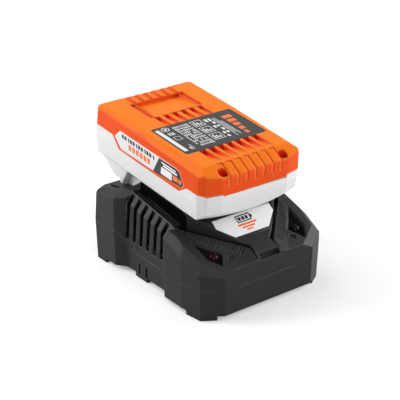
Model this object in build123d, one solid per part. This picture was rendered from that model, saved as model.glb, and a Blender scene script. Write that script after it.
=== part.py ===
from build123d import *
import os
from math import atan2, cos, degrees, radians, sin, tan

# Battery charger with a slide-on battery pack docked on it.
# Frame: the front faces -Y, +Z is up, the feet stand on z = 0 and the origin lies under the middle
# of the whole set. Millimetres.

# ---------------------------------------------------------------- driving dimensions: charger
charger_width = 107.0          # across the rear side facets, at the widest height
charger_length = 126.7         # front face to rear face
pack_overhang = 17.2           # how far the docked pack reaches past the charger's rear face
foot_height = 3.0
wall = 2.6                     # housing wall
widest_z = 30.0                # height at which the walls are widest
lower_draft = 1.6              # degrees
upper_draft = 0.8              # degrees
rear_lean = 3.0                # how far the rear face leans forward from the widest height to the crest
front_bevel = (4.8, 4.4)       # bevel along the outer top edge: run inwards, drop down the wall
waist_bevel = (4.7, 7.0)
rear_bevel = (5.5, 3.1)
parting_gap = 0.3              # open joint line between the two housings

# plan of the outer wall, right-hand half
front_half = 36.4              # half-width of the flat front face
corner_half = 50.3             # outer end of the front corner facet
corner_setback = 9.0
shoulder_half = 52.6
shoulder_setback = 25.4
waist_half = 47.9              # recessed side wall that carries the vent slots
waist_front_setback = 44.8     # where the shoulder wall ends
waist_ramp = 6.5               # length of the slope from shoulder wall into the recess
waist_rear_setback = 93.0      # where the recess ends
rear_facet_half = 48.6
rear_facet_length = 6.5
rear_step = 0.6                # run of the step at the recess's rear end
rear_corner = 3.6              # chamfer of the rear corners

# top profile, from the front edge to the rear edge
front_top_z = 34.7
brow_setback = 37.4            # where the front slope meets the shelf slope
brow_z = 49.0
crest_setback = 92.6           # highest line of the housing
crest_z = 58.2
rear_top_z = 52.4

# side vents
vent_count = 6
vent_pitch = 7.8
vent_width = 2.9               # at the foot of the slot
vent_top_width = 4.0           # at the height of the crest
vent_lean = 2.6                # how far forward it leans up to there
vent_first_setback = 53.4      # centre of the foremost slot
vent_bottom_z = 25.3
vent_depth = 5.0               # how far in the slots run where the wall is solid
vent_wall = 1.5                # the wall is thinner behind the slots
low_vent_setbacks = (71.5, 79.5)
low_vent_top_z = 11.0
low_vent_width = 1.8

# shelf, rim and ears around the receiver
rim_half = 42.2                # inner edge of the rim along the sides
rim_height = 0.8
rim_bend_setback = 47.6        # where the rim turns inwards
rim_shoulder = (40.2, 40.1, 49.6)   # half-width, setback and height of the ears' rear inner corner
rim_nose = (9.9, 9.1, 40.4)         # the same of their front inner corner
rim_front = (9.5, -0.7, 35.7)       # and where the rim meets the front face
ear_slope = (34.1, 22.6, 42.25)     # a point of the ribbed slope outside the rim
gap_floor = (45.0, 34.6)       # height of the gap's floor, at the rim's bend and at the front
ear_rib_count = 23
ear_rib_pitch = 1.65
ear_rib_width = 0.85
ear_rib_depth = 0.7
ear_rib_length = 6.5
led_pocket = ((40.9, 30.1), (27.3, 15.1), (34.1, 5.4), (40.0, 14.4))   # half-width and setback
led_pocket_depth = 2.2
led_step_width = 1.0           # shallow step round the pocket
led_step_depth = 0.7
led_place = (34.1, 15.6)
led_radius = 3.4
led_height = 2.4
led_stalk_radius = 2.4
lens_flange_radius = 4.4
lens_flange_height = 0.9
lens_seat_depth = 2.0          # skin of the pocket floor round the lens
dimple_place = (25.5, 8.3)
dimple_radius = 2.6
dimple_depth = 0.8
ramp_notch = (7.9, 3.4, 2.0)   # half-width, length and depth of the notch at the ramp's front end

# island in the middle: ramp, front plate and receiver
island_plan = ((24.6, 27.0), (14.6, 16.6), (8.0, 11.0))   # half-width and setback
island_shoulder_setback = 40.5
plate_rear = (31.5, 54.8)      # setback and height of the plate slope's rear edge
plate_front = (17.6, 44.6)
ramp_front_z = 36.6
plate_outline = ((23.6, 0.6), (23.8, 6.6), (13.9, 16.2))  # half-width and distance down the slope
plate_thickness = 1.2
plate_proud = 0.2

# inside the charger
ceiling_line = ((0.0, 29.0), (47.1, 39.0), (51.1, 43.5), (92.1, 47.0), (126.7, 46.5))   # setback, height
parting_line = ((-1.9, 21.5), (9.1, 21.9), (26.6, 21.3), (48.1, 17.0), (90.1, 18.5), (100.1, 30.3),
                (119.1, 28.3), (129.0, 27.2))
lip_width = 1.2                # tongue of the base inside the top housing
lip_height = 1.5
boss_places = ((43.5, 14.5), (38.0, 111.0))     # half-width and setback of the screw bosses
boss_radius = 4.0
boss_joint_z = 16.0
screw_radius = 1.5
screw_head_radius = 2.8
screw_head_height = 2.0
screw_length = 20.0
screw_drive = 1.8
screw_slot = 0.4
screw_seat_z = 8.0             # underside of the head's seat
counterbore_radius = 3.2
board_half = 41.0
board_front = 24.0             # setback
board_rear = 104.0
board_nose_half = 38.5         # narrower tongue between the front bosses
board_nose_front = 8.0
board_z = 12.0
board_thickness = 1.6
standoff_places = ((34.0, 30.0), (34.0, 97.0))
standoff_radius = 3.5
board_screw_length = 6.0
board_screw_radius = 1.25
board_screw_head = 1.6
inlet_x = -22.0
inlet_z = 17.5
inlet_size = (22.0, 16.0, 13.0)   # width, depth, height
inlet_pin_spacing = 8.6
inlet_pin_radius = 1.2
inlet_lobe_radius = 3.9
inlet_socket_depth = 12.0
inlet_pin_length = 9.5
inlet_waist = 1.2              # how much flatter the socket is between its lobes
inlet_tail = 3.0
inlet_setback = 1.0            # its face lies this far in front of the rear face
blade_count = 5
blade_pitch = 7.0
blade_thickness = 0.8
blade_reach = 8.8
blade_depths = (44.6, 47.8)    # depths below the pack's top plane
contact_block_half = 18.0
contact_block_length = 5.4
contact_block_depths = (43.4, 63.0)
blade_tail = 1.5               # solder tails under the block
blade_tail_width = 2.0
core_place = (-14.0, 74.0)     # place: x and setback, on the board
core_size = (34.0, 14.0, 27.0)
core_leg = 4.0
coil_swell = 5.0
bulk_can = (22.0, 86.0, 9.0, 25.0)       # x, setback, radius, height
can_dish = 0.6
output_can = (6.0, 30.0, 4.0, 13.0)
output_can_pitch = 9.5
output_can_count = 3
choke = (26.0, 64.0, 6.0, 3.0)           # x, setback, ring radius, wire radius
fuse_size = (-35.5, 78.0, 2.4, 20.0)     # x, setback, radius, length
fuse_cap = 5.0
fuse_clip = 0.4
sink = (-16.0, 48.0, 36.0, 2.0, 20.0)    # x, setback, width, thickness, height
fin_count = 7
fin_pitch = 5.5
fin_thickness = 1.0
fin_length = 6.0
transistor_size = (10.0, 4.5, 17.0)
transistor_spread = 9.0
transistor_lift = 4.0
leg_pitch = 2.5
leg_width = 0.8
led_offset = 1.0
led_stem = 17.0
wire_outer_radius = 0.9
lead_reach = 7.0
# x and setback ranges of the feet: front corner, side, rear corner
feet = ((40.0, 60.0, -1.0, 22.0), (44.0, 60.0, 70.4, 84.5), (46.0, 60.0, 112.0, 130.0))


# ---------------------------------------------------------------- driving dimensions: battery pack
pack_pitch = 5.13              # degrees, the front end is the lower one
pack_top_z = 102.1             # height of the pack's top plane over its datum line
pack_width = 82.0
pack_front = 67.0              # datum line to front face
pack_rear = 61.0               # datum line to rear face
# plan of the pack, right-hand half, front first: how far in from the side, how far back from the end
nose_facets = ((14.5, 0.0), (3.4, 2.3), (0.0, 8.4))
heel_facet = ((0.0, 6.5), (4.5, 0.0))
pack_widest = 22.2             # depth at which the pack is widest
pack_bottom = 35.0             # depth of the flat underside
pack_draft = 6.0               # degrees, lower shell
top_draft = 2.0                # degrees, top shell
top_round = 5.0
pack_wall = 2.2
brow_start = 56.2              # datum line to the crease where the front slope begins
brow_drop = 5.4                # fall of that slope down to the front face
rear_brow_start = 54.2         # the same at the rear
rear_brow_drop = 4.6
shoulder_halves = (38.6, 34.5) # half-width of the flat top, rear and front
shoulder_drop = 4.6            # fall of the side slopes down to the widest line at the front
# seam between the shells along the side, front last
seam_line = ((35.5, -14.4), (27.0, -22.2), (-40.0, -22.2), (-48.0, -16.8))
front_seam = 18.4              # depth of the seam in the middle of the front face
front_seam_half = 26.0
tail_outline = ((54.5, -35.5), (40.5, -45.0), (36.0, -46.3), (31.0, -46.3), (29.5, -49.3), (27.0, -49.0),
                (20.3, -35.0))

# top features of the pack
label_half = 33.0
label_front = 36.5
label_rear = 3.7
label_thickness = 0.3
label_corner = 2.0
panel_half = 18.0
panel_front = 18.6
panel_rear = 42.6
panel_depth = 2.8              # at its rear edge, running out towards the front one
panel_rib = 0.8                # rib between the panel and its neighbours
channel_width = 3.2            # channels beside the panel
channel_depth = 1.8
rib_count = 7
rib_pitch = 7.0
slot_width = 4.8
slot_length = 19.0
slot_depth = 3.5
nose_groove_width = 1.1
crease_groove_width = 0.9         # short steps that join the slots to the nose grooves
heel_notch_width = 3.6
heel_notch_depth = 1.5
heel_slot_width = 4.0
heel_slot_depth = 2.6           # at the panel, running out towards the label
recess_half = 3.2
recess_centre = (24.5, -62.6)
recess_length = 6.2
recess_floor = 12.0
side_label = ((26.9, -8.2), (32.6, -14.3), (24.6, -20.7), (-14.5, -20.2), (-43.6, -18.6), (-45.0, -15.8),
              (-39.7, -9.0), (-36.5, -8.0))

slot_front = 55.0
crown = 4.4                    # thickness of the top shell's flat
groove_depth = 0.9
nose_groove_end = 12.0
heel_notch_end = 10.5
recess_wall = 1.6
recess_base = 2.0
recess_corner = 2.2
pack_screw_length = 14.0
heel_line = ((60.6, -28.0), (54.5, -35.5))      # slope at the foot of the rear face
toe_slope = 42.0               # degrees, bevel at the foot of the front face
toe_depth = 33.0               # depth of its upper edge in the middle of the front face
toe_rise = 4.7                 # how much higher that edge is near the corners
toe_half = 34.0
tail_half = 37.5

# rails: the pack's flange runs in the charger's channel
flange_half = 33.0
neck_half = 28.0
flange_top = 42.0              # depths below the pack's top plane
flange_bottom = 52.0
rail_clearance = 0.4
tower_front = 47.0             # datum line to the front face of the rail tower
tower_rear = 30.0
receiver_wall = 3.2            # beside the channel
island_root = (28.7, 40.0)     # height of the island's underside, front and rear
receiver_top = 38.2            # depth of the receiver's upper edge below the pack's top plane
receiver_rear_setback = 91.1   # upper rear end of the receiver
receiver_foot_setback = 103.6  # lower rear end
receiver_foot_z = 56.0
receiver_front_setback = 45.1  # front end of its level part

# inside the pack
cell_radius = 9.15
cell_length = 65.0
cell_count = 6
cell_pitch = 18.8
cell_middle = 0.6              # datum line to the middle of the row
cell_depth = 13.8
holder_inner = 26.0
holder_top = 4.4
holder_bottom = 26.0
strap_thickness = 0.3
strap_width = 8.0
pack_board = (24.5, -46.0, 20.0, 1.6)    # half-width, front, rear, thickness
carrier_half = 19.0
carrier_length = 10.0
carrier_top = 42.6
carrier_back = 2.0
tower_wall = 2.6
tower_room_half = 20.5
tower_room_rear = 12.0
blade_slot = 2.0
blade_play = 0.6
board_depth = 28.5
board_rail = 3.0
holder_reach = 56.7
holder_post_reach = 55.0
holder_post = 6.0
fork_room = 1.6
fork_outer = 1.3
fork_inner = 0.8
fork_sheet = 0.4

# release button in the pack's tail
button_half = 13.0
button_top = 34.0
tooth_half = 8.0
tooth_front = 32.5
tooth_rear = 37.5
tooth_tip = 54.0
tooth_play = 0.5
button_wall = 0.6              # play beside the button
button_bottom = 37.0
button_stop = 43.7             # shoulder that keeps the button in the tail
button_stop_rear = 35.8
button_room = ((31.9, -24.0), (31.9, -44.0), (36.0, -44.0), (40.2, -42.4), (49.0, -36.6), (49.0, -24.0))
pad_half = 11.0
pad_front = 41.6
pad_rear = 46.5
pad_outline = ((41.6, -34.0), (41.6, -45.6), (46.5, -42.4), (46.5, -34.0))
bridge_half = 17.0
bridge_front = 33.5
bridge_rear = 42.5
bridge_top = 24.2
bridge_bottom = 26.0
spring_place = 38.0
spring_radius = 3.0
spring_wire = 0.5
spring_turns = 4

# ---------------------------------------------------------------- derived places
overall_length = charger_length + pack_overhang
front_y = -overall_length / 2
rear_y = front_y + charger_length
half_width = charger_width / 2
pitch = radians(pack_pitch)
# the pack's rear face, at the depth where it reaches furthest back, ends the set
pack_datum_y = overall_length / 2 - pack_rear * cos(pitch) - pack_widest * sin(pitch)
pack_frame = Location((0, pack_datum_y, pack_top_z), (pack_pitch, 0, 0))
big = 400.0                    # reach of cutting tools beyond the part
nick = 1.0                     # overrun of cutting tools past a face
sliver = 0.01                  # keeps two cuts from sharing an edge


def box(x0, x1, y0, y1, z0, z1):
    """Box between two corners."""
    return Pos((x0 + x1) / 2, (y0 + y1) / 2, (z0 + z1) / 2) * Box(abs(x1 - x0), abs(y1 - y0), abs(z1 - z0))


def side_prism(points, half):
    """Outline in the YZ plane, extruded to both sides of the middle plane."""
    return extrude(Plane.YZ * make_face(Polyline(*points, close=True)), half, both=True)


def plan_prism(points, z0, z1):
    """Outline in the XY plane, extruded upwards."""
    return extrude(Pos(0, 0, z0) * make_face(Polyline(*points, close=True)), z1 - z0)


def mirrored(points):
    """Half outline plus its mirror image across the middle plane."""
    return list(points) + [(-x, y) for x, y in reversed(points)]


def both_sides(shape):
    """The shape and its mirror image across the middle plane."""
    return [shape, mirror(shape, about=Plane.YZ)]


def post(x, y, z0, z1, radius):
    """Upright cylinder."""
    return Pos(x, y, (z0 + z1) / 2) * Cylinder(radius, z1 - z0)


def setback(points):
    """Points given as half-width and setback, in the row's plan."""
    return [(x, front_y + s) for x, s in points]


def pack_z(y, depth):
    """Height of a plane of the pack at depth below its top, over the row's y."""
    return pack_top_z + (y - pack_datum_y) * tan(pitch) - depth / cos(pitch)


top_line = [
    (front_y, front_top_z),
    (front_y + brow_setback, brow_z),
    (front_y + crest_setback, crest_z),
    (rear_y, rear_top_z),
]


def top_z(y):
    """Height of the charger's top profile at y."""
    for (ya, za), (yb, zb) in zip(top_line, top_line[1:]):
        if y <= yb or yb == rear_y:
            return za + (zb - za) * (y - ya) / (yb - ya)


def above_top(drop, y0, y1, half):
    """Everything more than drop under the top profile and above, from y0 to y1."""
    ys = [y0] + [y for y, z in top_line if y0 < y < y1] + [y1]
    line = [(y, top_z(y) - drop) for y in ys]
    return side_prism(line + [(y1, 2 * crest_z), (y0, 2 * crest_z)], half)


def above_plane(a, b, c):
    """Half space over the plane through three points."""
    normal = (b - a).cross(c - a).normalized()
    if normal.Z < 0:
        normal = normal * -1
    return Plane(origin=a, z_dir=normal) * Pos(0, 0, big / 2) * Box(2 * big, 2 * big, big)


def rim_point(place):
    """Half-width, setback and height as a vector."""
    x, s, z = place
    return Vector(x, front_y + s, z)


parts = {}

# ---------------------------------------------------------------- charger: outer form
half_plan = [
    (front_half, front_y),
    (corner_half, front_y + corner_setback),
    (shoulder_half, front_y + shoulder_setback),
    (shoulder_half, front_y + waist_front_setback),
    (waist_half, front_y + waist_front_setback + waist_ramp),
    (waist_half, front_y + waist_rear_setback),
    (rear_facet_half, front_y + waist_rear_setback + rear_step),
    (half_width, front_y + waist_rear_setback + rear_step + rear_facet_length),
    (half_width, rear_y - rear_corner),
    (half_width - rear_corner, rear_y),
]


def rear_wedges(inset):
    """Half spaces behind the rear face and its corner, which lean forward above the widest height."""
    wedges = []
    for (xa, ya), (xb, yb) in ((half_plan[-2], half_plan[-1]), (half_plan[-1], (0, rear_y))):
        along = Vector(xb - xa, yb - ya, 0).normalized()
        shift = Vector(-along.Y, along.X, 0) * inset
        low_a, low_b = Vector(xa, ya, widest_z) + shift, Vector(xb, yb, widest_z) + shift
        wedges += [above_plane(low_a, low_b, low_a + Vector(0, -rear_lean, crest_z - widest_z))]
    return wedges


def outer_walls(inset):
    """The drafted walls, widest at widest_z, moved inwards by inset."""
    face = make_face(Polyline(*mirrored(half_plan), close=True))
    if inset:
        face = offset(face, -inset, kind=Kind.INTERSECTION)
    face = Pos(0, 0, widest_z) * face
    lower = extrude(face, widest_z, dir=(0, 0, -1), taper=lower_draft)
    upper = extrude(face, 2 * crest_z - widest_z, taper=upper_draft)
    for wedge in rear_wedges(inset):
        upper = upper - both_sides(wedge)
    return lower + upper


def bevel_cutters(corners, run, drop):
    """Wedges above a sloping bevel along each wall facet of one side."""
    wedges = []
    for (xa, ya), (xb, yb) in zip(corners, corners[1:]):
        low_a = Vector(xa, ya, top_z(ya) - drop)
        low_b = Vector(xb, yb, top_z(yb) - drop)
        along = Vector(xb - xa, yb - ya, 0).normalized()
        middle = (low_a + low_b) / 2 + Vector(-along.Y, along.X, 0) * run
        wedges += [above_plane(low_a, low_b, Vector(middle.X, middle.Y, top_z(middle.Y)))]
    return wedges


def ear_bands(walls):
    """Raised slopes between the rim and the indicator pockets."""
    shoulder, nose, tip, slope = (rim_point(p) for p in (rim_shoulder, rim_nose, rim_front, ear_slope))
    outline = [(shoulder.X, shoulder.Y), (nose.X, nose.Y), (nose.X, front_y - nick),
               (front_half, front_y - nick), (corner_half, front_y + corner_setback)]
    band = plan_prism(outline, widest_z, crest_z) & walls
    band = band - above_plane(shoulder, nose, slope)
    band = band - above_plane(nose, tip, Vector(front_half - front_bevel[0], front_y, front_top_z))
    return both_sides(band)


walls = outer_walls(0)
form = walls - above_top(0, front_y - big, rear_y + big, charger_width)
form = form + ear_bands(walls)
waist_from = front_y + waist_front_setback + sliver
waist_to = front_y + waist_rear_setback
bevel_zones = (
    (half_plan[0:4], front_bevel, front_y - nick, waist_from),
    (half_plan[4:6], waist_bevel, waist_from, waist_to),
    (half_plan[6:10], rear_bevel, waist_to, rear_y + nick),
)
for corners, (run, drop), y0, y1 in bevel_zones:
    zone = box(0, charger_width, y0, y1, 0, 2 * crest_z)
    for wedge in bevel_cutters(corners, run, drop):
        form = form - both_sides(wedge & zone)

# sunk shelf inside the rim, and the deep gap round the front of the island
rim_line = setback([(rim_half, rim_bend_setback), rim_shoulder[:2], rim_nose[:2], (rim_nose[0], -nick)])
shelf_half = [(rim_half, front_y + crest_setback)] + rim_line
rim_bend_y = front_y + rim_bend_setback
shelf_cut = above_top(rim_height, rim_bend_y, front_y + crest_setback, charger_width)
form = form - (plan_prism(mirrored(shelf_half), 0, 2 * crest_z) & shelf_cut)
gap_line = [(front_y - nick, gap_floor[1]), (rim_bend_y, gap_floor[0])]
gap_cut = side_prism(gap_line + [(rim_bend_y, 2 * crest_z), (front_y - nick, 2 * crest_z)], charger_width)
form = form - (plan_prism(mirrored(rim_line), 0, 2 * crest_z) & gap_cut)

# island: ramp, plate slope and receiver
receiver_half = flange_half + rail_clearance + receiver_wall
island_side = [
    (front_y, island_root[0]),
    (front_y + receiver_foot_setback, island_root[1]),
    (front_y + receiver_foot_setback, receiver_foot_z),
    (front_y + receiver_rear_setback, pack_z(front_y + receiver_rear_setback, receiver_top)),
    (front_y + receiver_front_setback, pack_z(front_y + receiver_front_setback, receiver_top)),
    (front_y + plate_rear[0], plate_rear[1]),
    (front_y + plate_front[0], plate_front[1]),
    (front_y, ramp_front_z),
]
island_shoulder = (receiver_half, front_y + island_shoulder_setback)
island_half = [(receiver_half, rear_y), island_shoulder] + setback(island_plan) + [(rim_nose[0], front_y)]
form = form + (side_prism(island_side, charger_width) & plan_prism(mirrored(island_half), 0, 2 * crest_z))

# ears: ribbed band, indicator pockets and dimples
shoulder, nose, slope = (rim_point(p) for p in (rim_shoulder, rim_nose, ear_slope))
down_rim = (nose - shoulder).normalized()
band_up = (slope - nose).cross(shoulder - nose).normalized()
if band_up.Z < 0:
    band_up = band_up * -1
off_rim = band_up.cross(down_rim)
if off_rim.X < 0:
    off_rim = off_rim * -1
rib_lead = ((nose - shoulder).length - (ear_rib_count - 1) * ear_rib_pitch) / 2
for i in range(ear_rib_count):
    start = shoulder + down_rim * (rib_lead + i * ear_rib_pitch)
    middle = start + off_rim * (ear_rib_length / 2 + rim_height)
    rib_frame = Plane(origin=middle, x_dir=down_rim, z_dir=band_up)
    groove = rib_frame * Box(ear_rib_width, ear_rib_length, 2 * ear_rib_depth)
    form = form - both_sides(groove)

ear_pitch = degrees(atan2(brow_z - front_top_z, brow_setback))


def ear_place(place, drop):
    """Location on the ears' slope, drop under the top profile, with Z off the slope."""
    x, s = place
    return Location((x, front_y + s, top_z(front_y + s) - drop), (ear_pitch, 0, 0))


pocket = plan_prism(setback(led_pocket), 0, 2 * crest_z)
pocket = pocket & above_top(led_pocket_depth, front_y, front_y + brow_setback, charger_width)
form = form - both_sides(pocket)
around = offset(make_face(Polyline(*setback(led_pocket), close=True)), led_step_width)
step = extrude(around, 2 * crest_z) & above_top(led_step_depth, front_y, front_y + brow_setback, charger_width)
form = form - both_sides(step)
dimple = ear_place(dimple_place, 0) * post(0, 0, -dimple_depth, big, dimple_radius)
form = form - both_sides(dimple)
notch_half, notch_length, notch_depth = ramp_notch
notch_y = front_y + notch_length
form = form - box(-notch_half, notch_half, front_y - nick, notch_y, ramp_front_z - notch_depth, crest_z)

# channel for the pack's flange, open to the rear, and the slot of the latch tooth
channel_front = -tower_front - rail_clearance
channel = box(-flange_half - rail_clearance, flange_half + rail_clearance, channel_front, big,
              -flange_bottom - rail_clearance, -flange_top + rail_clearance)
channel += box(-neck_half - rail_clearance, neck_half + rail_clearance, channel_front, big, -flange_top, 0)
channel += box(-tooth_half - tooth_play, tooth_half + tooth_play, tooth_front - tooth_play, big,
               -tooth_tip - tooth_play, -flange_top)
form = form - pack_frame * channel

# vents
waist_x = waist_half - vent_depth
for i in range(vent_count):
    y = front_y + vent_first_setback + i * vent_pitch
    half, top_half, top_y = vent_width / 2, vent_top_width / 2, y - vent_lean
    opening = [(y - half, vent_bottom_z), (y + half, vent_bottom_z), (top_y + top_half, crest_z),
               (top_y - top_half, crest_z)]
    slot = side_prism(opening, waist_half + nick)
    slot = slot & box(waist_x, half_width, front_y, rear_y, 0, crest_z)
    form = form - both_sides(slot)
for s in low_vent_setbacks:
    y = front_y + s
    half = low_vent_width / 2
    slot = box(waist_x, charger_width, y - half, y + half, foot_height, low_vent_top_z)
    form = form - both_sides(slot)

# ---------------------------------------------------------------- charger: front plate and lenses
plate_slope = degrees(atan2(plate_rear[1] - plate_front[1], plate_rear[0] - plate_front[0]))
plate_frame = Location((0, front_y + plate_rear[0], plate_rear[1]), (plate_slope, 0, 0))
plate_corners = mirrored([(x, -d) for x, d in plate_outline])
parts["front_plate"] = plate_frame * plan_prism(plate_corners, plate_proud - plate_thickness, plate_proud)
form = form - parts["front_plate"]

lens_axis = ear_place(led_place, led_pocket_depth)
cap_radius = (led_radius ** 2 + led_height ** 2) / (2 * led_height)
cap = (Pos(0, 0, led_height - cap_radius) * Sphere(cap_radius)) & post(0, 0, 0, led_height, led_radius)
lens = cap + post(0, 0, -lens_seat_depth, 0, led_radius)
lens += post(0, 0, -lens_seat_depth - lens_flange_height, -lens_seat_depth, lens_flange_radius)
lens = lens_axis * lens
relief = lens_axis * post(0, 0, -widest_z / 2, -lens_seat_depth, lens_flange_radius)
parts["led_lens_green"], parts["led_lens_red"] = both_sides(lens)
form = form - both_sides(lens) - both_sides(relief)

# ---------------------------------------------------------------- charger: housings
ceiling = [(front_y + s, z) for s, z in ceiling_line]
room_inside = outer_walls(wall) & side_prism(ceiling + [(rear_y, 0), (front_y, 0)], charger_width)
shell = form - (room_inside - box(-charger_width, charger_width, -big, big, 0, foot_height + wall))
under = box(-charger_width, charger_width, front_y - nick, rear_y + nick, -nick, foot_height)
for x0, x1, s0, s1 in feet:
    under = under - both_sides(box(x0, x1, front_y + s0, front_y + s1, -nick, foot_height))
shell = shell - under

line = [(front_y + s, z) for s, z in parting_line]


def below_line(rise):
    """Everything under the parting line raised by rise."""
    raised = [(y, z + rise) for y, z in line]
    return side_prism(raised + [(line[-1][0], -nick), (line[0][0], -nick)], charger_width)


vent_rear = front_y + vent_first_setback + (vent_count - 1) * vent_pitch + vent_width
thin = box(waist_x, waist_half, front_y + vent_first_setback - vent_width, vent_rear,
           vent_bottom_z, brow_z - waist_bevel[1])
shell = shell - both_sides(thin & outer_walls(vent_wall))
ring = outer_walls(wall - lip_width) - outer_walls(wall)
lip = ring & below_line(lip_height)
base = (shell & below_line(-parting_gap)) + (lip - below_line(-parting_gap))
cover = shell - below_line(0) - lip
plan_bosses = [(x, front_y + s) for x, s in boss_places]
screws = []
for x, y in plan_bosses + [(-x, y) for x, y in plan_bosses]:
    base = base + post(x, y, foot_height, boss_joint_z, boss_radius)
    base = base - post(x, y, -nick, screw_seat_z, counterbore_radius)
    base = base - post(x, y, -nick, boss_joint_z, screw_radius)
    column = post(x, y, boss_joint_z, crest_z, boss_radius) & room_inside
    cover = cover + (column - post(x, y, 0, screw_seat_z + screw_length, screw_radius))
    screw = post(x, y, screw_seat_z - screw_head_height, screw_seat_z, screw_head_radius)
    screw = screw - box(x - screw_drive, x + screw_drive, y - screw_slot, y + screw_slot,
                        0, screw_seat_z - screw_head_height / 2)
    screws += [screw + post(x, y, screw_seat_z, screw_seat_z + screw_length, screw_radius)]
parts["housing_screws"] = Compound(children=screws)

# board on standoffs
board_top = board_z + board_thickness
board = box(-board_half, board_half, front_y + board_front, front_y + board_rear, board_z, board_top)
board += box(-board_nose_half, board_nose_half, front_y + board_nose_front, front_y + board_front,
             board_z, board_top)
board_screws = []
standoffs = setback(standoff_places)
for x, y in standoffs + [(-x, y) for x, y in standoffs]:
    shank = post(x, y, board_top - board_screw_length, board_top, board_screw_radius)
    base = base + post(x, y, foot_height, board_z, standoff_radius) - shank
    board = board - shank
    head = post(x, y, board_top, board_top + board_screw_head, 2 * board_screw_radius)
    board_screws += [head + shank]
parts["charger_circuit_board"] = board
parts["board_screws"] = Compound(children=board_screws)

# mains inlet in the rear wall, on a cradle
inlet_width, inlet_depth, inlet_height = inlet_size
inlet_rear = rear_y - inlet_setback
inlet_front = inlet_rear - inlet_depth
inlet_box = box(inlet_x - inlet_width / 2, inlet_x + inlet_width / 2, inlet_front, inlet_rear,
                inlet_z - inlet_height / 2, inlet_z + inlet_height / 2)
window = box(inlet_x - inlet_width / 2, inlet_x + inlet_width / 2, inlet_front, rear_y + nick,
             inlet_z - inlet_height / 2, inlet_z + inlet_height / 2)
cradle = box(inlet_x - inlet_width / 2, inlet_x + inlet_width / 2, inlet_front, inlet_rear - wall,
             foot_height, inlet_z - inlet_height / 2)
base = base + cradle - window
turned = Location((inlet_x, inlet_rear, inlet_z), (90, 0, 0))
socket = box(-inlet_pin_spacing / 2, inlet_pin_spacing / 2, -inlet_lobe_radius + inlet_waist,
             inlet_lobe_radius - inlet_waist, -nick, inlet_socket_depth)
pins = []
for side in (-1, 1):
    socket += post(side * inlet_pin_spacing / 2, 0, -nick, inlet_socket_depth, inlet_lobe_radius)
    pins += [turned * post(side * inlet_pin_spacing / 2, 0, inlet_socket_depth - inlet_pin_length,
                           inlet_depth + inlet_tail, inlet_pin_radius)]
parts["mains_inlet"] = inlet_box - turned * socket - pins
parts["inlet_pins"] = Compound(children=pins)

# contact block and blades, in the front wall of the channel
block_low, block_high = contact_block_depths[1], contact_block_depths[0]
block = box(-contact_block_half, contact_block_half, channel_front - contact_block_length, channel_front,
            -block_low, -block_high)
blade_xs = [(i - (blade_count - 1) / 2) * blade_pitch for i in range(blade_count)]
blade_root = channel_front - contact_block_length / 2
blades = []
for x in blade_xs:
    x0, x1 = x - blade_thickness / 2, x + blade_thickness / 2
    blade = box(x0, x1, blade_root, channel_front + blade_reach, -blade_depths[1], -blade_depths[0])
    tail_end = blade_root + blade_tail_width
    blades += [blade + box(x0, x1, blade_root, tail_end, -block_low - blade_tail, -blade_depths[0])]
cover = cover - pack_frame * block
parts["contact_block"] = pack_frame * (block - blades)
parts["contact_blades"] = Compound(children=[pack_frame * b for b in blades])

parts["charger_top_housing"] = cover
parts["charger_base_housing"] = base

# ---------------------------------------------------------------- charger: electronics


def on_board(x, s, width, length, height, lift=0.0):
    """Block standing on the board, or lifted off it."""
    y = front_y + s
    return box(x - width / 2, x + width / 2, y - length / 2, y + length / 2, board_top + lift, board_top + height)


def can(x, s, radius, height):
    """Round component standing on the board."""
    return post(x, front_y + s, board_top, board_top + height, radius)


core_x, core_s = core_place
core_w, core_l, core_h = core_size
core = on_board(core_x, core_s, core_w, core_l, core_h)
bore = on_board(core_x, core_s, core_w - 2 * core_leg, core_l, core_h - core_leg, core_leg)
spine = on_board(core_x, core_s, 2 * core_leg, core_l, core_h)
core = core - bore + spine
coil = on_board(core_x, core_s, core_w - 2 * core_leg, core_l + 2 * coil_swell, core_h - core_leg, core_leg)
parts["transformer_core"] = core
parts["transformer_winding"] = coil - core
x, s, r, h = bulk_can
parts["bulk_capacitor"] = can(x, s, r, h) - can(x, s, r / 2, h + nick) + can(x, s, r / 2, h - can_dish)
x, s, r, h = output_can
cans = [can(x + i * output_can_pitch, s, r, h) for i in range(output_can_count)]
parts["output_capacitors"] = Compound(children=cans)
x, s, ring_radius, wire_radius = choke
parts["line_choke"] = Pos(x, front_y + s, board_top + wire_radius) * Torus(ring_radius, wire_radius)
x, s, r, length = fuse_size
fuse_tube = Location((x, front_y + s, board_top + r), (90, 0, 0))
parts["fuse"] = fuse_tube * Cylinder(r, length) + [
    fuse_tube * Pos(0, 0, side * (length - fuse_cap) / 2) * Cylinder(r + fuse_clip, fuse_cap) for side in (-1, 1)]
parts["fuse"] = parts["fuse"] - box(-half_width, half_width, front_y, rear_y, 0, board_top)
x, s, width, thickness, height = sink
fin_s = s + (thickness + fin_length) / 2
fin_xs = [x + (i - (fin_count - 1) / 2) * fin_pitch for i in range(fin_count)]
fins = [on_board(fin_x, fin_s, fin_thickness, fin_length, height) for fin_x in fin_xs]
parts["heat_sink"] = on_board(x, s, width, thickness, height) + fins
chip_w, chip_l, chip_h = transistor_size
chips = []
for side in (-1, 1):
    chip_x = x + side * transistor_spread
    chip_s = s - (thickness + chip_l) / 2
    chip = on_board(chip_x, chip_s, chip_w, chip_l, chip_h, transistor_lift)
    leg_xs = [chip_x + i * leg_pitch for i in (-1, 0, 1)]
    legs = [on_board(leg_x, chip_s, leg_width, leg_width, transistor_lift) for leg_x in leg_xs]
    chips += [chip + legs]
parts["power_transistors"] = Compound(children=chips)

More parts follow.
